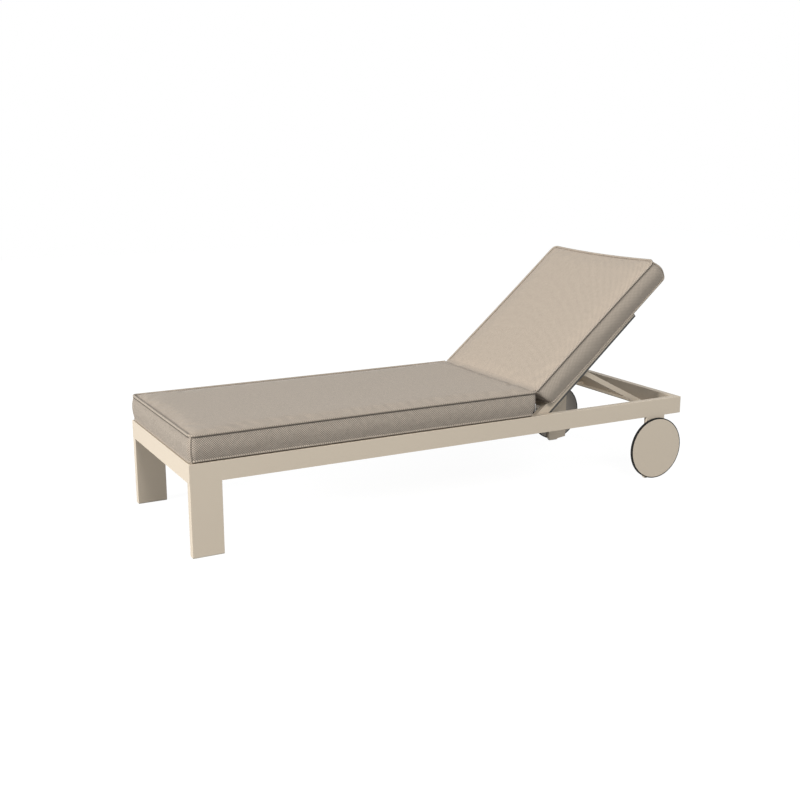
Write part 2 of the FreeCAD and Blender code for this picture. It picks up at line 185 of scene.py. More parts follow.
foot_lamp = make_lamp("foot_end_lamp", Vector((2.0, -15.0, 4.2)), MIDDLE, size=3.5, share=0.94)
side_lamp = make_lamp("near_side_lamp", Vector((7.2, -0.6, 7.0)), MIDDLE, size=4.0, share=0.545)
print("lamps of", round(foot_lamp.data.energy), "and", round(side_lamp.data.energy), "W")

# %% [markdown]
# ## The camera
#
# The lens and the standpoint were found by fitting the frame's corners, legs and wheels to their
# places in the picture. The result is a plain camera with no shift and no roll, a little above the
# mattress and off the near foot corner.

# %% Stand the camera where the photographer stood
CAMERA_AT = (3.61233, -2.02269, 1.31678)
LENS_DOWN = 13.262
LENS_TURN = 61.706
LENS = 50.86
SENSOR = 36

camera_data = bpy.data.cameras.new("camera")
camera_data.lens = LENS
camera_data.sensor_width = SENSOR
camera = bpy.data.objects.new("camera", camera_data)
camera.location = CAMERA_AT
camera.rotation_euler = (math.radians(90 - LENS_DOWN), 0, math.radians(LENS_TURN))
bpy.context.scene.collection.objects.link(camera)
bpy.context.scene.camera = camera
print("lens", LENS, "mm at", CAMERA_AT)

# %% [markdown]
# ## Finishes
#
# Several finishes share the same small effects: a fine grain on paint, plastic and rubber, and slow
# clouds of tone that keep large faces from looking like a single flat colour. Each effect is a node
# group with named sockets, so a material only sets its own scale. The groups put out values that
# vary over the surface, and the shader stays in the material.

# %% Helpers for node groups
def new_group(name, inputs, outputs):
    tree = bpy.data.node_groups.new(name, "ShaderNodeTree")
    for label, kind, value in inputs:
        socket = tree.interface.new_socket(label, in_out="INPUT", socket_type="NodeSocket" + kind)
        if value is not None:
            socket.default_value = value
    for label, kind in outputs:
        tree.interface.new_socket(label, in_out="OUTPUT", socket_type="NodeSocket" + kind)
    return tree, tree.nodes.new("NodeGroupInput"), tree.nodes.new("NodeGroupOutput")


def math_node(tree, operation, *values, clamp=False):
    """A Math node whose inputs are sockets or plain numbers; returns its output."""
    node = tree.nodes.new("ShaderNodeMath")
    node.operation = operation
    node.use_clamp = clamp
    for slot, value in zip(node.inputs, values):
        if isinstance(value, (int, float)):
            slot.default_value = value
        else:
            tree.links.new(value, slot)
    return node.outputs[0]


def mix_colours(tree, factor, first, second):
    node = tree.nodes.new("ShaderNodeMix")
    node.data_type = "RGBA"
    tree.links.new(factor, node.inputs[0])
    for slot, value in ((node.inputs[6], first), (node.inputs[7], second)):
        if isinstance(value, tuple):
            slot.default_value = value
        else:
            tree.links.new(value, slot)
    return node.outputs[2]


def noise(tree, coordinates, scale, detail=2.0, roughness=0.5):
    node = tree.nodes.new("ShaderNodeTexNoise")
    node.inputs["Detail"].default_value = detail
    node.inputs["Roughness"].default_value = roughness
    tree.links.new(coordinates, node.inputs["Vector"])
    if isinstance(scale, (int, float)):
        node.inputs["Scale"].default_value = scale
    else:
        tree.links.new(scale, node.inputs["Scale"])
    return node.outputs["Fac"]


print("helpers for groups, sums, colours and noise")

# %% [markdown]
# Grain is fast noise and clouds are slow noise, both fixed to the object. The grain also gives the
# height for a bump, and a little of it is added to the clouds as a speckle.

# %% Fine grain as a node group
def make_grain_group():
    """Fine grain, for bump and for a light speckle, over slow clouds of tone."""
    tree, start, end = new_group(
        "Fine grain",
        [("Grain scale", "Float", 900.0), ("Cloud scale", "Float", 3.0), ("Speckle", "Float", 0.3)],
        [("Tone", "Float"), ("Height", "Float")],
    )
    place = tree.nodes.new("ShaderNodeTexCoord").outputs["Object"]
    grain = noise(tree, place, start.outputs["Grain scale"], detail=3.0, roughness=0.6)
    cloud = noise(tree, place, start.outputs["Cloud scale"], detail=2.0, roughness=0.5)
    speckle = math_node(tree, "MULTIPLY", math_node(tree, "SUBTRACT", grain, 0.5), start.outputs["Speckle"])
    tree.links.new(math_node(tree, "ADD", cloud, speckle, clamp=True), end.inputs["Tone"])
    tree.links.new(grain, end.inputs["Height"])
    return tree


grain_group = make_grain_group()
print("node group:", grain_group.name)

# %% [markdown]
# The frame's sand colour is a powder coat: plastic dust that melts on the hot metal and sets with a
# fine orange peel. The tyre bands, the glides, the bushes and the pins are plainer stock, but each
# has its own grain and gloss. One function makes all of them from two neighbouring tones, a grain
# size and a gloss.

# %% Paint, rubber, plastic and steel
GRAIN_DEPTH = 0.0004


def grained(name, light, dark, grain_scale, cloud_scale, speckle, bump, gloss, **fixed):
    material, nodes, links = new_material(name)
    tree = material.node_tree
    grain = nodes.new("ShaderNodeGroup")
    grain.node_tree = grain_group
    grain.inputs["Grain scale"].default_value = grain_scale
    grain.inputs["Cloud scale"].default_value = cloud_scale
    grain.inputs["Speckle"].default_value = speckle
    shader = nodes.new("ShaderNodeBsdfPrincipled")
    links.new(mix_colours(tree, grain.outputs["Tone"], dark, light), shader.inputs["Base Color"])
    low, high = gloss
    spread = nodes.new("ShaderNodeMapRange")
    spread.inputs["To Min"].default_value = low
    spread.inputs["To Max"].default_value = high
    links.new(grain.outputs["Tone"], spread.inputs["Value"])
    links.new(spread.outputs[0], shader.inputs["Roughness"])
    relief = nodes.new("ShaderNodeBump")
    relief.inputs["Strength"].default_value = bump
    relief.inputs["Distance"].default_value = GRAIN_DEPTH
    links.new(grain.outputs["Height"], relief.inputs["Height"])
    links.new(relief.outputs[0], shader.inputs["Normal"])
    for socket, value in fixed.items():
        shader.inputs[socket.replace("_", " ")].default_value = value
    output = nodes.new("ShaderNodeOutputMaterial")
    links.new(shader.outputs[0], output.inputs["Surface"])
    return material


finishes = {
    "frame_paint": grained(
        "sand powder coat", (0.650, 0.562, 0.455, 1), (0.618, 0.532, 0.430, 1),
        grain_scale=1100.0, cloud_scale=2.2, speckle=0.6, bump=0.25, gloss=(0.5, 0.6),
    ),
    "tyre_rubber": grained(
        "black rubber", (0.014, 0.0135, 0.013, 1), (0.007, 0.007, 0.007, 1),
        grain_scale=700.0, cloud_scale=14.0, speckle=0.8, bump=0.5, gloss=(0.72, 0.88),
        Specular_IOR_Level=0.2,
    ),
    "dark_plastic": grained(
        "dark moulded plastic", (0.070, 0.068, 0.065, 1), (0.045, 0.044, 0.043, 1),
        grain_scale=1500.0, cloud_scale=9.0, speckle=0.5, bump=0.3, gloss=(0.5, 0.65),
    ),
    "nylon": grained(
        "natural nylon", (0.66, 0.63, 0.57, 1), (0.58, 0.55, 0.49, 1),
        grain_scale=1200.0, cloud_scale=12.0, speckle=0.4, bump=0.15, gloss=(0.35, 0.5),
    ),
    "steel_fastener": grained(
        "stainless steel", (0.66, 0.65, 0.63, 1), (0.52, 0.51, 0.50, 1),
        grain_scale=1800.0, cloud_scale=30.0, speckle=0.7, bump=0.2, gloss=(0.25, 0.42),
        Metallic=1.0,
    ),
}
print("finishes:", ", ".join(m.name for m in finishes.values()))

# %% [markdown]
# The construction record says which finish each node has, so the finishes are handed out by that
# list. The two soft solids get their cover later, as pieces of their own. The cores behind the
# wheel covers get a darker and greyer copy of the coat, which is painted shade for the shade that
# falls on them under the frame.

# %% Give each rigid node its finish
def paint_node(node, material):
    node.data.materials.clear()
    node.data.materials.append(material)


for part in frame["record"]["subparts"]:
    if part["material_slot"] in finishes:
        paint_node(nodes[part["node"]], finishes[part["material_slot"]])
# Painted shade: a darker, greyer copy of the sand coat stands for the shade under the frame.
shaded_core_coat = grained(
    "painted shade coat of the wheel cores", (0.350, 0.315, 0.282, 1), (0.305, 0.275, 0.247, 1),
    grain_scale=900.0, cloud_scale=8.0, speckle=0.5, bump=0.3, gloss=(0.55, 0.7),
)
for side in ("left", "right"):
    paint_node(nodes["wheel_core_" + side], shaded_core_coat)

# %% [markdown]
# The wheel covers are pressed discs, and a pressed edge is never sharp: it catches a thin line of
# light all round. The construction model keeps the edge plain, so a narrow bevel softens it here.

# %% Soften the rims of the wheel covers
RIM = 0.0012

for side in ("left", "right"):
    rim = nodes["wheel_cover_" + side].modifiers.new("soft rim", "BEVEL")
    rim.width = RIM
    rim.segments = 3
    rim.limit_method = "ANGLE"
    rim.angle_limit = math.radians(50)
print("rims softened by", RIM, "m")

# %% [markdown]
# ## The cover cloth
#
# The mattress is covered in an outdoor cloth woven from a light and a dark yarn, which reads as
# taupe from afar and as a diagonal chequer close by. A picture of cloth would do, but a formula
# stays sharp at any distance. The product of two sine waves gives squares that alternate like warp
# and weft, each with a rounded crown, and finer waves inside the squares stand for the single
# threads; they also make the colour a little darker where the threads dip, which is painted shade
# between them. Slow noise shifts the balance of the two yarns a little, like slubs in the yarn.

# %% The weave as a node group
SLUB_SCALE = 60.0
SLUB_SHARE = 0.5
YARN_EDGE = 3.0
THREADS = 5.0
THREAD_SHADE = 0.1
YARN_SHADE = 0.94
THREAD_HEIGHT = 0.15


def make_weave_group():
    tree, start, end = new_group(
        "Two-tone weave",
        [
            ("Cloth place", "Vector", None),
            ("Pitch", "Float", 0.008),
            ("Dark share", "Float", 0.0),
            ("Light yarn", "Color", WHITE),
            ("Dark yarn", "Color", WHITE),
        ],
        [("Colour", "Color"), ("Height", "Float")],
    )
    waves = tree.nodes.new("ShaderNodeVectorMath")
    waves.operation = "SCALE"
    tree.links.new(start.outputs["Cloth place"], waves.inputs[0])
    tree.links.new(math_node(tree, "DIVIDE", 2 * math.pi, start.outputs["Pitch"]), waves.inputs["Scale"])
    split = tree.nodes.new("ShaderNodeSeparateXYZ")
    tree.links.new(waves.outputs[0], split.inputs[0])
    across, along = split.outputs["X"], split.outputs["Y"]
    squares = math_node(tree, "MULTIPLY", math_node(tree, "SINE", across), math_node(tree, "SINE", along))
    slub = noise(tree, start.outputs["Cloth place"], SLUB_SCALE, detail=3.0, roughness=0.6)
    bias = math_node(tree, "MULTIPLY", math_node(tree, "SUBTRACT", slub, 0.5), SLUB_SHARE)
    level = math_node(tree, "SUBTRACT", math_node(tree, "ADD", squares, bias), start.outputs["Dark share"])
    top = math_node(tree, "ADD", math_node(tree, "MULTIPLY", level, YARN_EDGE), 0.5, clamp=True)
    threads_up = math_node(tree, "SINE", math_node(tree, "MULTIPLY", across, THREADS))
    threads_over = math_node(tree, "SINE", math_node(tree, "MULTIPLY", along, THREADS))
    threads = tree.nodes.new("ShaderNodeMix")
    tree.links.new(top, threads.inputs[0])
    tree.links.new(threads_over, threads.inputs[2])
    tree.links.new(threads_up, threads.inputs[3])
    # Painted shade: the colour is a little darker where the thread waves dip.
    thread_shade = math_node(tree, "MULTIPLY", threads.outputs[0], THREAD_SHADE)
    shade = math_node(tree, "ADD", thread_shade, YARN_SHADE)
    cloth = mix_colours(tree, top, start.outputs["Dark yarn"], start.outputs["Light yarn"])
    tinted = tree.nodes.new("ShaderNodeVectorMath")
    tinted.operation = "SCALE"
    tree.links.new(cloth, tinted.inputs[0])
    tree.links.new(shade, tinted.inputs["Scale"])
    tree.links.new(tinted.outputs[0], end.inputs["Colour"])
    crown = math_node(tree, "ABSOLUTE", squares)
    thread_height = math_node(tree, "MULTIPLY", threads.outputs[0], THREAD_HEIGHT)
    tree.links.new(math_node(tree, "ADD", crown, thread_height), end.inputs["Height"])
    return tree


weave_group = make_weave_group()
print("node group:", weave_group.name)

# %% [markdown]
# One cloth serves for all that is sewn, and only the cut changes. The borders show more of the dark
# yarn than the panels do. The chequer is plainest on the seat's border, which is cut along the
# other grain, and calmest on the back's border. The weave lies in the cloth's own flat coordinates,
# in metres, so that it keeps its size on every piece.

# %% The cuts of the cloth
CLOTH_MAP = "cloth"
CLOTH_DEPTH = 0.0006


def woven(name, light, dark, pitch, dark_share, bump):
    material, nodes, links = new_material(name)
    place = nodes.new("ShaderNodeUVMap")
    place.uv_map = CLOTH_MAP
    weave = nodes.new("ShaderNodeGroup")
    weave.node_tree = weave_group
    weave.inputs["Pitch"].default_value = pitch
    weave.inputs["Dark share"].default_value = dark_share
    weave.inputs["Light yarn"].default_value = light
    weave.inputs["Dark yarn"].default_value = dark
    links.new(place.outputs[0], weave.inputs["Cloth place"])
    shader = nodes.new("ShaderNodeBsdfPrincipled")
    links.new(weave.outputs["Colour"], shader.inputs["Base Color"])
    shader.inputs["Roughness"].default_value = 0.85
    shader.inputs["Specular IOR Level"].default_value = 0.25
    shader.inputs["Sheen Weight"].default_value = 0.12
    shader.inputs["Sheen Roughness"].default_value = 0.5
    relief = nodes.new("ShaderNodeBump")
    relief.inputs["Strength"].default_value = bump
    relief.inputs["Distance"].default_value = CLOTH_DEPTH
    links.new(weave.outputs["Height"], relief.inputs["Height"])
    links.new(relief.outputs[0], shader.inputs["Normal"])
    output = nodes.new("ShaderNodeOutputMaterial")
    links.new(shader.outputs[0], output.inputs["Surface"])
    return material


panel_cloth = woven(
    "cloth of the panels", light=(0.522, 0.437, 0.357, 1), dark=(0.282, 0.238, 0.197, 1),
    pitch=0.0072, dark_share=-0.18, bump=0.25,
)
border_cloth = woven(
    "cloth of the border", light=(0.570, 0.488, 0.408, 1), dark=(0.205, 0.177, 0.151, 1),
    pitch=0.0075, dark_share=0.06, bump=0.35,
)
calm_cloth = woven(
    "cloth of the back's border", light=(0.452, 0.387, 0.323, 1), dark=(0.318, 0.274, 0.232, 1),
    pitch=0.0075, dark_share=0.06, bump=0.2,
)
welt_cloth = woven(
    "cloth of the piping", light=(0.520, 0.443, 0.367, 1), dark=(0.262, 0.224, 0.188, 1),
    pitch=0.0075, dark_share=-0.15, bump=0.4,
)
print("cloths:", panel_cloth.name, border_cloth.name, calm_cloth.name, welt_cloth.name)

# %% [markdown]
# ## The mattress
#
# Each half of the mattress is a boxed cushion: a top and a bottom panel, joined by a border strip,
# with piping sewn into both seams. The piping keeps the seams in line while the filling swells the
# panels between them. A voxel remesh would lose those seams, so the cushion starts as an even grid
# that has them. The squares at a panel's corners are bent into quarter discs, which rounds the
# corners and keeps the cells even.

# %% Round the corners of an even grid
CELL = 0.0085


def rounded_corner(x, y, half, length, reach_x, reach_y):
    """Bends the corner squares of a panel's grid into quarter discs."""
    from_x, from_y = half - reach_x, length / 2 - reach_y
    mid = y - length / 2
    if abs(x) <= from_x or abs(mid) <= from_y:
        return x, y
    a, b = (abs(x) - from_x) / reach_x, (abs(mid) - from_y) / reach_y
    new_a, new_b = a * math.sqrt(1 - b * b / 2), b * math.sqrt(1 - a * a / 2)
    bent_x = math.copysign(from_x + new_a * reach_x, x)
    return bent_x, length / 2 + math.copysign(from_y + new_b * reach_y, mid)


print("grids with cells of", CELL, "m")

# %% [markdown]
# A cushion is then two panels and the rows of a border between them, with the cloth's flat
# coordinates kept in a UV map. The top rows of the border at the fold are cut from the panel's
# cloth, because the top runs on over that edge.

# %% The cushion's panels and border
PANEL, BORDER = 0, 1
FOLD_ROWS = 3


class Cushion:
    """A grid of a boxed cushion, lying flat: x across, y along from its lower end, z up from its base."""

    def __init__(self, name, length, width, height, corner_cells, fold_at_end, border):
        self.name, self.length, self.half, self.height = name, length, width / 2, height
        self.nx, self.ny = round(width / CELL), round(length / CELL)
        self.rows = round(height / CELL)
        self.corner = corner_cells
        self.fold_at_end, self.border = fold_at_end, border
        self.points, self.faces, self.cloth, self.kinds = [], [], [], []
        self.make_panels()
        self.make_border()

    def make_panels(self):
        dx, dy = 2 * self.half / self.nx, self.length / self.ny
        self.flat = {}
        for i in range(self.nx + 1):
            for j in range(self.ny + 1):
                cells = self.corner[0] if j < self.ny / 2 else self.corner[1]
                place = i * dx - self.half, j * dy
                self.flat[i, j] = rounded_corner(*place, self.half, self.length, cells * dx, cells * dy)
        self.top = {key: self.add(x, y, self.height) for key, (x, y) in self.flat.items()}
        self.base = {key: self.add(x, y, 0.0) for key, (x, y) in self.flat.items()}
        for i in range(self.nx):
            for j in range(self.ny):
                ring = [(i, j), (i + 1, j), (i + 1, j + 1), (i, j + 1)]
                self.quad([self.top[k] for k in ring], [self.flat[k] for k in ring], PANEL)
                ring.reverse()
                self.quad([self.base[k] for k in ring], [self.flat[k] for k in ring], PANEL)

    def make_border(self):
        nx, ny = self.nx, self.ny
        self.edge = [(i, 0) for i in range(nx)] + [(nx, j) for j in range(ny)]
        self.edge += [(i, ny) for i in range(nx, 0, -1)] + [(0, j) for j in range(ny, 0, -1)]
        loop = np.array([self.flat[key] for key in self.edge])
        along = np.roll(loop, -1, 0) - np.roll(loop, 1, 0)
        self.outward = np.stack([along[:, 1], -along[:, 0], np.zeros(len(along))], 1)
        self.outward /= np.linalg.norm(self.outward, axis=1)[:, None]
        far = np.concatenate([[0], np.cumsum(np.linalg.norm(np.roll(loop, -1, 0) - loop, axis=1))])
        self.levels = [[self.base[key] for key in self.edge]]
        for row in range(1, self.rows):
            self.levels.append([self.add(*place, self.height * row / self.rows) for place in loop])
        self.levels.append([self.top[key] for key in self.edge])
        for row in range(self.rows):
            low, high = self.height * row / self.rows, self.height * (row + 1) / self.rows
            for k in range(len(loop)):
                n = (k + 1) % len(loop)
                below, above = self.levels[row], self.levels[row + 1]
                over_fold = row >= self.rows - FOLD_ROWS and self.at_fold(k) and self.at_fold(n)
                places = [(far[k], low), (far[k + 1], low), (far[k + 1], high), (far[k], high)]
                self.quad([below[k], below[n], above[n], above[k]], places, PANEL if over_fold else BORDER)

    def add(self, x, y, z):
        self.points.append((x, y, z))
        return len(self.points) - 1

    def quad(self, ring, places, kind):
        self.faces.append(ring)
        self.cloth.append(places)
        self.kinds.append(kind)

    def at_fold(self, k):
        return self.edge[k][1] == (self.ny if self.fold_at_end else 0)

    def from_fold(self, points):
        """How far points are from the end that folds."""
        return self.length - points[:, 1] if self.fold_at_end else points[:, 1]

    def build(self, points):
        mesh = bpy.data.meshes.new(self.name)
        mesh.from_pydata([tuple(p) for p in points], [], self.faces)
        mesh.materials.append(panel_cloth)
        mesh.materials.append(self.border)
        mesh.polygons.foreach_set("material_index", self.kinds)
        mesh.polygons.foreach_set("use_smooth", [True] * len(self.faces))
        uv = mesh.uv_layers.new(name=CLOTH_MAP)
        uv.data.foreach_set("uv", np.array(self.cloth, np.float32).ravel())
        piece = bpy.data.objects.new(self.name, mesh)
        bpy.context.scene.collection.objects.link(piece)
        return piece


seat = Cushion(
    "seat_mattress", length=1.3030, width=0.648, height=0.088,
    corner_cells=(2, 1), fold_at_end=True, border=border_cloth,
)
back = Cushion(
    "back_mattress", length=0.6910, width=0.634, height=0.080,
    corner_cells=(1, 3), fold_at_end=False, border=calm_cloth,
)
print("grids:", len(seat.points), "and", len(back.points), "points")

# %% [markdown]
# Before the filling swells, the cut of the cover gets its real lines. The top panel is crowned,
# steeply along the piped seams and gently in the middle. The border bellies out, the long sides
# draw in a little between the corners and the head end of the back draws in more. At the fold there
# is no top seam: the cloth rolls over a soft edge there. Both ends are cut aslant, so that the two
# halves meet at the top, but the base keeps more of its length between the corners and covers the
# bar below it. The back half is a little thinner at the head end, and its long edges hang over the
# outer sides of the arms that carry it. The long edges of the seat half do the opposite: they lift
# a little off the rails, which leaves a dark line below them.

# %% Cut the cover to shape
CROWN = 0.0085
CROWN_REACH = 0.015
FOLD_SHARE = 0.35
FOLD_REACH = 0.012
SEAT_BELLY = 0.0074
BACK_BELLY = 0.0105
FOLD_BELLY = 0.2
SIDE_DRAW_IN = 0.003
HEAD_DRAW_IN = 0.009
SEAT_SLANT = 0.0125
BACK_SLANT = 0.0255
BACK_TAPER = 0.008
BACK_HANG = 0.009
BACK_HANG_MORE = 0.007
HANG_REACH = 0.35
EDGE_LIFT = 0.0035
EDGE_REACH = 0.010
HEAD_LEAN = 0.008
HEAD_CURVE = 6
TUCK = 0.6
TUCK_RISE, TUCK_CORNERS = 3, 12
ARM_SIDE = 0.2995
AT_FOLD = 0.002


def cut_to_shape(cushion, belly, slant, edge=0.0, head=0.0, lean=0.0, taper=0.0, hang=0.0, more=0.0):
    """The grid's points, moved to the lines of the cover's cut."""
    points = np.array(cushion.points)
    rise = points[:, 2] / cushion.height
    share = points[:, 1] / cushion.length
    across = points[:, 0] / cushion.half
    fold = cushion.from_fold(points)
    top = np.array(list(cushion.top.values()))
    to_side = cushion.half - np.abs(points[top, 0])
    to_piped_end = cushion.length - fold[top]
    lift = (1 - np.exp(-to_side / CROWN_REACH)) * (1 - np.exp(-to_piped_end / CROWN_REACH))
    lift *= 1 - (1 - FOLD_SHARE) * np.exp(-fold[top] / FOLD_REACH)
    points[top, 2] += CROWN * lift
    for row, level in enumerate(cushion.levels):
        bulge = belly * math.sin(math.pi * row / cushion.rows)
        bulge = bulge * np.where(fold[level] < AT_FOLD, FOLD_BELLY, 1.0)
        points[level] += bulge[:, None] * cushion.outward
    points[:, 2] *= 1 - taper / cushion.height * share
    past_arm = np.abs(across) * cushion.half - ARM_SIDE
    outside = np.clip(past_arm / (cushion.half - ARM_SIDE), 0, 1)
    low = 1 - np.clip(rise, 0, 1)
    points[:, 2] -= (hang + more * np.clip(share / HANG_REACH, 0, 1)) * outside * low
    to_edge = np.maximum(cushion.half - np.abs(points[:, 0]), 0)
    points[:, 2] += edge * np.exp(-to_edge / EDGE_REACH) * low
    points[:, 0] *= 1 - SIDE_DRAW_IN / cushion.half * np.sin(math.pi * share)
    points[:, 1] -= head * (1 - across**2) * share**HEAD_CURVE
    points[:, 1] += lean * low * np.clip(2 * share - 1, 0, 1)
    tucked = TUCK * low**TUCK_RISE * (1 - np.clip(np.abs(across), 0, 1)**TUCK_CORNERS)
    shortened = slant * (low - tucked) * np.clip(1 - 2 * fold / cushion.length, 0, 1)
    points[:, 1] += -shortened if cushion.fold_at_end else shortened
    return points


seat_cut = cut_to_shape(seat, SEAT_BELLY, SEAT_SLANT, edge=EDGE_LIFT)
back_cut = cut_to_shape(
    back, BACK_BELLY, BACK_SLANT, head=HEAD_DRAW_IN, lean=HEAD_LEAN,
    taper=BACK_TAPER, hang=BACK_HANG, more=BACK_HANG_MORE,
)
print("crowned by", CROWN, "m, drawn in by", SIDE_DRAW_IN, "and", HEAD_DRAW_IN, "m")

# %% [markdown]
# Next comes the filling. Foam is firmer than air, so each point of the cloth may only move a few
# millimetres. The movement is eased off towards that limit rather than cut, which leaves a flat top
# with a soft shoulder along the piping. Along the border most of the movement is shared with its
# neighbours, because a tight border shows few puckers.

# %% How far the foam lets the cloth move
TOP_SWELL = 0.0030
BORDER_SWELL = 0.0022
FOLD_SWELL = 0.0004
NEAR_FOLD = 0.012
CALM = 5
CALMED = 0.75


def limit_movement(cushion, piece, start, moved):
    """Eases each point's movement towards the most that the foam allows there."""
    limit = np.full(len(start), BORDER_SWELL)
    limit[list(cushion.top.values())] = TOP_SWELL
    limit[cushion.from_fold(np.array(cushion.points)) < NEAR_FOLD] = FOLD_SWELL
    shift = moved - start
    far = np.linalg.norm(shift, axis=1)
    eased = limit * np.tanh(far / limit)
    shift *= (eased / np.maximum(far, 1e-9))[:, None]
    for level in cushion.levels[1:-1]:
        steps = range(-CALM, CALM + 1)
        around = sum(np.roll(shift[level], step, 0) for step in steps) / (2 * CALM + 1)
        shift[level] += CALMED * (around - shift[level])
    piece.data.vertices.foreach_set("co", (start + shift).astype(np.float32).ravel())
    piece.data.update()
    swelled, kept = (round(size.max() * 1000, 1) for size in (far, eased))
    print(cushion.name, "swelled by up to", swelled, "mm, kept", kept)


print("the cloth may move by", TOP_SWELL, "m on top and by", BORDER_SWELL, "m along the border")

# %% [markdown]
# The swelling itself is a cloth simulation with pressure inside. The panels and the border swell
# between the seams, which are pinned, as is the base, which lies on slats. A little spare cloth
# gives the small puckers along the seams.

# %% Swell the cushions
PRESSURE = 1.2
SPARE_CLOTH = -0.004
FRAMES = 16


def swell(cushion, start):
    piece = cushion.build(start)
    pins = piece.vertex_groups.new(name="seams")
    pins.add(cushion.levels[-1] + list(cushion.base.values()), 1.0, "REPLACE")
    cloth = piece.modifiers.new("filling", "CLOTH")
    cloth.settings.quality = 6
    cloth.settings.mass = 0.25
    cloth.settings.tension_stiffness = 25
    cloth.settings.compression_stiffness = 25
    cloth.settings.shear_stiffness = 12
    cloth.settings.bending_stiffness = 3
    cloth.settings.shrink_min = SPARE_CLOTH
    cloth.settings.use_pressure = True
    cloth.settings.uniform_pressure_force = PRESSURE
    cloth.settings.vertex_group_mass = pins.name
    cloth.settings.effector_weights.gravity = 0
    cloth.collision_settings.use_collision = False
    cloth.collision_settings.use_self_collision = False
    cloth.point_cache.frame_end = FRAMES
    for step in range(1, FRAMES + 1):
        bpy.context.scene.frame_set(step)
    graph = bpy.context.evaluated_depsgraph_get()
    moved = np.zeros(len(start) * 3, np.float32)
    piece.evaluated_get(graph).data.vertices.foreach_get("co", moved)
    piece.modifiers.remove(cloth)
    piece.vertex_groups.clear()
    bpy.context.scene.frame_set(1)
    limit_movement(cushion, piece, start, moved.reshape(-1, 3))
    return piece


seat_piece = swell(seat, seat_cut)
back_piece = swell(back, back_cut)
print("filled:", seat_piece.name, back_piece.name)

# %% [markdown]
# The simulated cushions go to their places. The seat half lies on the deck, and the back half lies
# on the tilted back, turned about the hinge. They stand for the two soft solids of the construction
# model and ride on the same bodies.

# %% Place the cushions
SEAT_START = Vector((0, -0.9935, 0.3123))
HINGE = Vector((0, 0.344, 0.287))
RECLINE = math.radians(41.2)
BACK_START = Vector((0, 0.0525, 0.0253))


def finish_cushion(piece, place, body, node):
    piece.matrix_world = place
    smooth = piece.modifiers.new("even surface", "SUBSURF")
    smooth.levels = 1
    smooth.render_levels = 1
    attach(piece, body)
    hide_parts(node)


seat_place = Matrix.Translation(SEAT_START)
back_place = Matrix.Translation(HINGE) @ Matrix.Rotation(RECLINE, 4, "X") @ Matrix.Translation(BACK_START)
finish_cushion(seat_piece, seat_place, "frame", "seat_cushion")
finish_cushion(back_piece, back_place, "back_pad", "back_cushion")
print("cushions placed:", seat_piece.name, back_piece.name)

# %% [markdown]
# ## Piping
#
# Piping is a cord in a folded strip of the same cloth, caught in the seam. A bevelled curve could
# stand for it, but a tube swept by hand carries its own cloth coordinates, so the yarns run round
# it as the cut on the bias makes them do. An open tube ends in a few narrowing rings, like a cord
# that is cut and sewn in.

# %% Sweep a tube along a path
SIDES = 12
ROUND_END = ((0.97, 0.26), (0.71, 0.71), (0.26, 0.97))
UPRIGHT = 0.9


def swept(path, radius, closed):
    """Points, faces and cloth places of a tube along a path; an open tube gets rounded ends."""
    path = np.array(path, float)
    radii = [radius] * len(path)
    if not closed:
        first, last = path[0] - path[1], path[-1] - path[-2]
        first, last = first / np.linalg.norm(first), last / np.linalg.norm(last)
        before = [path[0] + first * radius * out for out, _ in ROUND_END]
        after = [path[-1] + last * radius * out for out, _ in reversed(ROUND_END)]
        path = np.array(before + list(path) + after)
        narrowing = [radius * size for _, size in ROUND_END]
        radii = narrowing + radii + narrowing[::-1]
    ahead = np.roll(path, -1, 0) - np.roll(path, 1, 0)
    if not closed:
        ahead[0], ahead[-1] = path[1] - path[0], path[-1] - path[-2]
    ahead /= np.linalg.norm(ahead, axis=1)[:, None]
    stands = abs(ahead[len(path) // 2][2]) >= UPRIGHT
    up = np.array([0.0, 1.0, 0.0] if stands else [0.0, 0.0, 1.0])
    loop = np.vstack([path, path[:1]])
    far = np.concatenate([[0], np.cumsum(np.linalg.norm(np.diff(loop, axis=0), axis=1))])
    around = 2 * math.pi * radius / SIDES
    points, faces, cloth = [], [], []
    for place, along, size in zip(path, ahead, radii):
        side = np.cross(along, up)
        side /= np.linalg.norm(side)
        over = np.cross(side, along)
        for k in range(SIDES):
            turn = 2 * math.pi * k / SIDES
            points.append(place + size * (math.cos(turn) * side + math.sin(turn) * over))
    for n in range(len(path) if closed else len(path) - 1):
        nxt = (n + 1) % len(path)
        for k in range(SIDES):
            turn = (k + 1) % SIDES
            faces.append([n * SIDES + k, n * SIDES + turn, nxt * SIDES + turn, nxt * SIDES + k])
            low, high = around * k, around * (k + 1)
            cloth.append([(far[n], low), (far[n], high), (far[n + 1], high), (far[n + 1], low)])
    if not closed:
        last = (len(path) - 1) * SIDES
        faces += [list(range(SIDES))[::-1], list(range(last, last + SIDES))]
        rounds = [around * k for k in range(SIDES)]
        cloth += [[(0.0, place) for place in rounds[::-1]], [(far[-2], place) for place in rounds]]
    return points, faces, cloth


print("tubes with", SIDES, "sides")

# %% [markdown]
# All the small pieces are made alike from here on. Lists of points, faces and cloth places are
# joined into one mesh, which gets its material, its place and the body that carries it.

# %% Make a piece from parts
def joined(parts):
    """One list each of points, faces and cloth places from several parts."""
    points, faces, cloth = [], [], []
    for more_points, more_faces, more_cloth in parts:
        faces += [[index + len(points) for index in face] for face in more_faces]
        points += [tuple(p) for p in more_points]
        cloth += [place for ring in more_cloth for place in ring]
    return points, faces, cloth


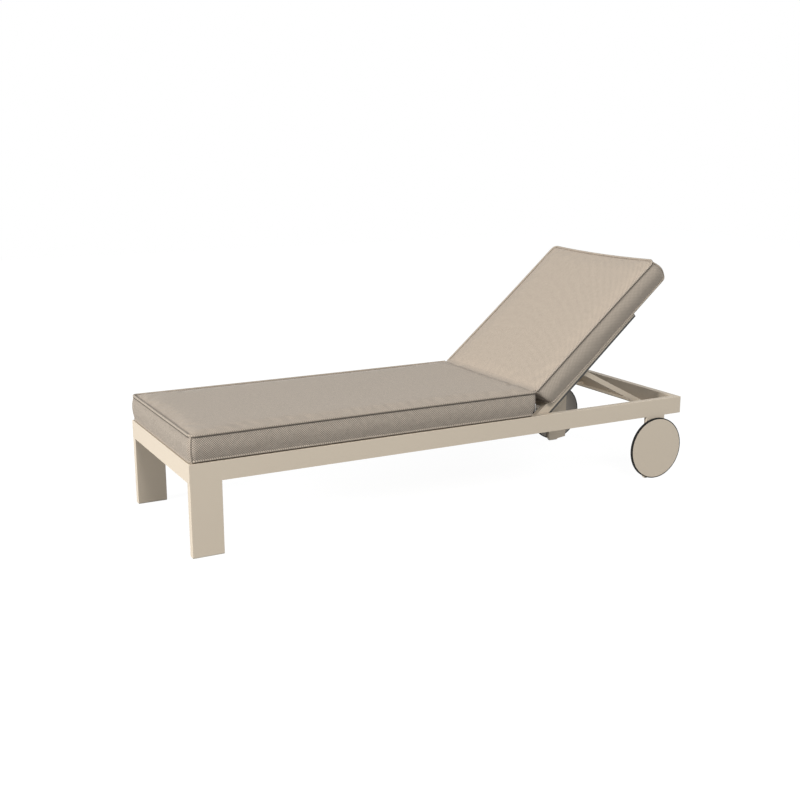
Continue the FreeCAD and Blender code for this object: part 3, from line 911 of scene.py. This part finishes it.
def new_piece(name, parts, material, body, place=Matrix(), smooth=True):
    points, faces, cloth = joined(parts)
    mesh = bpy.data.meshes.new(name)
    mesh.from_pydata(points, [], faces)
    mesh.polygons.foreach_set("use_smooth", [smooth] * len(faces))
    if cloth:
        uv = mesh.uv_layers.new(name=CLOTH_MAP)
        uv.data.foreach_set("uv", np.array(cloth, np.float32).ravel())
    mesh.materials.append(material)
    piece = bpy.data.objects.new(name, mesh)
    bpy.context.scene.collection.objects.link(piece)
    piece.matrix_world = place
    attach(piece, body)
    return piece


print("pieces carry the map", CLOTH_MAP)

# %% [markdown]
# The piping stands proud of the seam, which leaves a dark groove below it. The top seam is open at
# the fold, where the piping of one half comes up against that of the other. Upright welts close the
# border at the two piped corners.

# %% Pipe the seams
WELT = 0.0040
CORNER_WELT = 0.0032
BASE_RISE = 0.0044
TOP_RISE = 0.0026
TOP_OUT = 0.0006
SEAT_BASE_OUT, BACK_BASE_OUT = -0.0006, 0.0012


def points_of(piece):
    """Where the points of a cushion are, in its own frame."""
    return np.array([v.co for v in piece.data.vertices])


def pushed(cushion, place, level, order, rise, out):
    """A row of border points, moved up and outwards."""
    line = place[[cushion.levels[level][k] for k in order]]
    return line + out * cushion.outward[order] + np.array([0, 0, rise])


def top_line(cushion, place, rise, out):
    """The top seam from one corner of the fold round to the other, moved up and outwards."""
    around = list(range(len(cushion.edge)))
    start = 2 * cushion.nx + cushion.ny if cushion.fold_at_end else cushion.nx
    open_run = (around[start:] + around[:start])[: 2 * cushion.ny + cushion.nx + 1]
    line = pushed(cushion, place, -1, open_run, rise, out)
    line[0], line[-1] = (line[0] + line[1]) / 2, (line[-1] + line[-2]) / 2
    return line


def welt_runs(cushion, piece, base_out):
    """The tubes of a cushion: the base seam, the top seam and the two piped corners."""
    place = points_of(piece)
    nx, ny = cushion.nx, cushion.ny
    corners = [0, nx, nx + ny, 2 * nx + ny]
    around = list(range(len(cushion.edge)))
    runs = [(pushed(cushion, place, 0, around, BASE_RISE, base_out), WELT, True)]
    runs.append((top_line(cushion, place, TOP_RISE, TOP_OUT), WELT, False))
    for k in corners[:2] if cushion.fold_at_end else corners[2:]:
        column = [pushed(cushion, place, row, [k], 0.0, TOP_OUT)[0] for row in range(cushion.rows + 1)]
        runs.append((column, CORNER_WELT, False))
    return [swept(*run) for run in runs]


seat_tubes = welt_runs(seat, seat_piece, SEAT_BASE_OUT)
back_tubes = welt_runs(back, back_piece, BACK_BASE_OUT)
seat_welt = new_piece("seat_piping", seat_tubes, welt_cloth, "frame", seat_place)
back_welt = new_piece("back_piping", back_tubes, welt_cloth, "back_pad", back_place)
print("piping:", len(seat_welt.data.vertices), "and", len(back_welt.data.vertices), "points")

# %% [markdown]
# The groove below the top piping gets a thin dark cord of painted shade, a fine dark line that
# the shallow groove does not cast by itself. It is swept along the same seam, a little lower and
# further out than the piping.

# %% Lay painted shade in the groove below the piping
SHADE_CORD = 0.0012
SHADE_CORD_RISE = -0.0026
SHADE_CORD_OUT = 0.0025

# Painted shade: the cord's dark colour stands for the shadow in the groove below the piping.
groove_shade_cloth = woven(
    "painted groove shade", light=(0.165, 0.141, 0.119, 1), dark=(0.098, 0.084, 0.072, 1),
    pitch=0.0030, dark_share=0.0, bump=0.4,
)


def lay_groove_shade(name, cushion, piece, body, place):
    run = swept(top_line(cushion, points_of(piece), SHADE_CORD_RISE, SHADE_CORD_OUT), SHADE_CORD, False)
    return new_piece(name, [run], groove_shade_cloth, body, place)


# Each half gets its cord of painted shade along the top seam.
seat_groove_shade = lay_groove_shade("seat_groove_shade", seat, seat_piece, "frame", seat_place)
back_groove_shade = lay_groove_shade("back_groove_shade", back, back_piece, "back_pad", back_place)
print("seams:", len(seat_groove_shade.data.vertices), "and", len(back_groove_shade.data.vertices), "points")

# %% [markdown]
# ## The cloth across the fold
#
# The top cloth runs on from the seat to the back, so the fold is a soft valley and not a slit. The
# strip that crosses it starts on the seat's panel and ends on the back's, and a smooth curve leads
# it over between them. It stays with the seat when the back moves.

# %% Lead the top cloth over the fold
STRIP_HALF = 0.3135
STRIP_COLUMNS = 74
STRIP_STEPS = 10
STRIP_CELL = 0.0034
STRIP_LIFT = 0.0006
STRIP_THICK = 0.0012
STRIP_EDGE, STRIP_AIM = 2, 4
STRIP_PULL = 1.6


def panel_row(cushion, piece, from_fold, across):
    """The top panel's points in the room, a number of grid rows from the fold, at given places across."""
    row = cushion.ny - from_fold if cushion.fold_at_end else from_fold
    points = [piece.data.vertices[cushion.top[i, row]].co for i in range(cushion.nx + 1)]
    line = np.array([piece.matrix_world @ point for point in points])
    return np.stack([across] + [np.interp(across, line[:, 0], line[:, axis]) for axis in (1, 2)], 1)


def fold_strip():
    """Two skins, a cloth's thickness apart, on a smooth curve from the seat's panel to the back's."""
    across = np.linspace(-STRIP_HALF, STRIP_HALF, STRIP_COLUMNS)
    first, before = (panel_row(seat, seat_piece, rows, across) for rows in (STRIP_EDGE, STRIP_AIM))
    last, after = (panel_row(back, back_piece, rows, across) for rows in (STRIP_EDGE, STRIP_AIM))
    leave, arrive = STRIP_PULL * (first - before), STRIP_PULL * (after - last)
    points, faces, cloth = [], [], []
    for sink in (0.0, STRIP_THICK):
        for step in range(STRIP_STEPS + 1):
            t = step / STRIP_STEPS
            bend = (2 * t**3 - 3 * t**2 + 1, t**3 - 2 * t**2 + t, 3 * t**2 - 2 * t**3, t**3 - t**2)
            line = bend[0] * first + bend[1] * leave + bend[2] * last + bend[3] * arrive
            points += list(line + (0, 0, STRIP_LIFT - sink))
    columns, rows = len(across), STRIP_STEPS + 1
    for side in (0, 1):
        for step in range(STRIP_STEPS):
            for k in range(columns - 1):
                corner = (side * rows + step) * columns + k
                ring = [corner, corner + 1, corner + columns + 1, corner + columns]
                cells = ((k, step), (k + 1, step), (k + 1, step + 1), (k, step + 1))
                places = [(across[column], STRIP_CELL * row) for column, row in cells]
                faces.append(ring[::-1] if side else ring)
                cloth.append(places[::-1] if side else places)
    return points, faces, cloth


strip = new_piece("fold_cloth", [fold_strip()], panel_cloth, "frame")
print("strip across the fold:", len(strip.data.vertices), "points")

# %% [markdown]
# ## Zips
#
# Each half's cover closes with a zip in the border that faces the fold, where it is hardly seen.
# Tape and coil are one narrow section swept along the border, with the coil raised at every other
# step.

# %% Sew in the tapes and coils
ZIP_HALF = 0.309
TAPE_HALF = 0.010
TAPE = 0.0008
COIL = 0.0018
COIL_FOOT = 0.0025
COIL_HALF = 0.0013
ZIP_STEP = 0.003


def zip_line(cushion, piece):
    """Points along the middle of the border at the fold, the way up the border and the way out of it."""
    place = points_of(piece)
    order = [k for k in range(len(cushion.edge)) if cushion.at_fold(k)]
    order.sort(key=lambda k: cushion.flat[cushion.edge[k]][0])
    row = cushion.rows // 2
    low, middle, high = (place[[cushion.levels[r][k] for k in order]] for r in (row - 1, row, row + 1))
    across = np.arange(-ZIP_HALF, ZIP_HALF, ZIP_STEP)
    line = np.stack([across] + [np.interp(across, middle[:, 0], middle[:, axis]) for axis in (1, 2)], 1)
    up = (high - low).mean(0)
    up /= np.linalg.norm(up)
    out = np.cross(up, (1, 0, 0)) * (1 if cushion.fold_at_end else -1)
    return line, up, out


def zip_tape(line, up, out):
    points, faces, cloth = [], [], []
    for step, place in enumerate(line):
        raised = COIL if step % 2 else TAPE
        section = [(-TAPE_HALF, -TAPE), (-TAPE_HALF, TAPE), (-COIL_FOOT, TAPE), (-COIL_HALF, raised)]
        section += [(-high, lift) for high, lift in reversed(section)]
        points += [place + high * up + lift * out for high, lift in section]
    count = len(section)
    for step in range(len(line) - 1):
        for k in range(count - 1):
            first = step * count + k
            faces.append([first, first + 1, first + count + 1, first + count])
            left, right = step * ZIP_STEP, (step + 1) * ZIP_STEP
            low, high = section[k][0], section[k + 1][0]
            cloth.append([(left, low), (left, high), (right, high), (right, low)])
    return points, faces, cloth


tape_cloth = woven(
    "zip tape", light=(0.330, 0.282, 0.235, 1), dark=(0.190, 0.162, 0.137, 1),
    pitch=0.0020, dark_share=0.0, bump=0.4,
)
seat_zip, back_zip = zip_line(seat, seat_piece), zip_line(back, back_piece)
seat_tape, back_tape = [zip_tape(*seat_zip)], [zip_tape(*back_zip)]
new_piece("seat_zip", seat_tape, tape_cloth, "frame", seat_place, smooth=False)
back_zip_piece = new_piece(
    "back_zip", back_tape, tape_cloth, "back_pad", back_place, smooth=False
)
print("zips of", len(seat_zip[0]), "steps each")

# %% [markdown]
# A slider is a body on the coil, a bridge on top of it and a pull that hangs down from the bridge.
# All three are small plates with chamfered edges. The seat half has its slider at the near end,
# where it just looks out of the fold, and the back half at the far end.

# %% Cut small plates
def tapered(length, first, last, sides=8):
    """An outline with round ends of two widths, from the origin along its length."""
    outline = []
    for centre, width, start in ((first / 2, first, 90), (length - last / 2, last, -90)):
        for step in range(sides + 1):
            turn = math.radians(start + 180 * step / sides)
            outline.append((centre + width / 2 * math.cos(turn), width / 2 * math.sin(turn)))
    return np.array(outline)


def plate(outline, low, high, chamfer):
    """A flat plate with chamfered edges, from an outline; its height runs from low to high."""
    middle = outline.mean(0)
    inner = middle + (outline - middle) * (1 - chamfer / np.linalg.norm(outline - middle, axis=1))[:, None]
    rings = ((inner, low), (outline, low + chamfer), (outline, high - chamfer), (inner, high))
    points = [(x, y, z) for ring, z in rings for x, y in ring]
    count = len(outline)
    faces = [list(range(count))[::-1], list(range(3 * count, 4 * count))]
    for ring in range(3):
        for k in range(count):
            first, second = ring * count + k, ring * count + (k + 1) % count
            faces.append([first, second, second + count, first + count])
    return points, faces


# each plate: length and end widths, shift along and beside, lowest and highest face, chamfer
SLIDER_BODY = (0.012, 0.0085, 0.0065), (-0.004, 0), (0.0004, 0.0046), 0.0008
SLIDER_BRIDGE = (0.008, 0.0036, 0.0036), (-0.002, 0), (0.0042, 0.0074), 0.0006
SLIDER_PULL = (0.030, 0.0046, 0.0062), (-0.002, 0.003), (0.0050, 0.0064), 0.0004
print("plates of", SLIDER_BODY[0][0], SLIDER_BRIDGE[0][0], "and", SLIDER_PULL[0][0], "m")

# %% [markdown]
# The body and the bridge run along the coil, and the pull hangs square to it. They are steel like
# the fasteners and share that finish.

# %% Park the sliders
NEAR, FAR = np.array([1.0, 0, 0]), np.array([-1.0, 0, 0])
SLIDER_PAST = 0.008


def zip_slider(end, across, up, out):
    """A slider on the end of the coil, with a bridge that holds a pull, which hangs down."""
    parts = []
    placed = (across, up, SLIDER_BODY), (across, up, SLIDER_BRIDGE), (-up, across, SLIDER_PULL)
    for along, beside, (sizes, shift, (low, high), chamfer) in placed:
        points, faces = plate(tapered(*sizes) + shift, low, high, chamfer)
        parts.append(([end + x * along + y * beside + z * out for x, y, z in points], faces, []))
    return parts


steel = finishes["steel_fastener"]
seat_parts = zip_slider(seat_zip[0][-1] + SLIDER_PAST * NEAR, NEAR, *seat_zip[1:])
back_parts = zip_slider(back_zip[0][0], FAR, *back_zip[1:])
new_piece("seat_zip_slider", seat_parts, steel, "frame", seat_place, smooth=False)
back_slider = new_piece(
    "back_zip_slider", back_parts, steel, "back_pad", back_place, smooth=False
)
print("sliders at", round(float(seat_zip[0][-1][0]), 3), "m from the middle")

# %% [markdown]
# ## Meshes of their own for the soft pieces
#
# When the back lies flat, its hanging edges come down on the side rails, where the foam gives.
# The back half, all that rides with it and the strip over the fold each get a mesh of their own.

for piece in (back_piece, back_welt, back_groove_shade, back_zip_piece, back_slider):
    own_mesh(piece)
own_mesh(strip)

# %% [markdown]
# ## Screws
#
# Screws through the upright legs of the angle strips hold the deck to the side rails, and two more
# hold each toothed rack. They are pan heads with a hexagon socket, all turned from one profile. The
# socket is made by giving the inner rings of the same turned form six flats.

# %% Drive the screws
HEAD = [(0.0040, 0.0), (0.0040, 0.0006), (0.0035, 0.0016), (0.0022, 0.0024)]
SOCKET = [(0.0014, 0.0024), (0.0014, 0.0011)]
HEAD_SIDES = 24
FLAT = math.pi / 3
LEDGE_FACE, LEDGE_SCREW_Z = 0.2975, 0.2885
LEDGE_SCREWS = np.linspace(-0.94, 0.25, 6)
RACK_FACE, RACK_SCREW_Z = 0.2970, 0.2562
RACK_SCREWS = (0.7215, 0.9670)


def screw(place, way_out):
    """A pan head at a place on a face that looks along X."""
    points, faces = [], []
    x, y, z = place
    for radius, height in HEAD + SOCKET:
        six_flats = (radius, height) in SOCKET
        for k in range(HEAD_SIDES):
            turn = 2 * math.pi * k / HEAD_SIDES
            size = radius / math.cos((turn + FLAT / 2) % FLAT - FLAT / 2) if six_flats else radius
            points.append((x + way_out * height, y + size * math.cos(turn), z + size * math.sin(turn)))
    rings = len(HEAD + SOCKET)
    for ring in range(rings - 1):
        for k in range(HEAD_SIDES):
            first = ring * HEAD_SIDES + k
            second = ring * HEAD_SIDES + (k + 1) % HEAD_SIDES
            faces.append([first, second, second + HEAD_SIDES, first + HEAD_SIDES][::way_out])
    faces.append(list(range((rings - 1) * HEAD_SIDES, rings * HEAD_SIDES))[::way_out])
    return points, faces, []


screws = []
for side in (-1, 1):
    for along in LEDGE_SCREWS:
        screws.append(screw((side * LEDGE_FACE, along, LEDGE_SCREW_Z), -side))
    for along in RACK_SCREWS:
        screws.append(screw((side * RACK_FACE, along, RACK_SCREW_Z), -side))
new_piece("deck_screws", screws, steel, "frame", smooth=False)
print("screws:", len(screws))
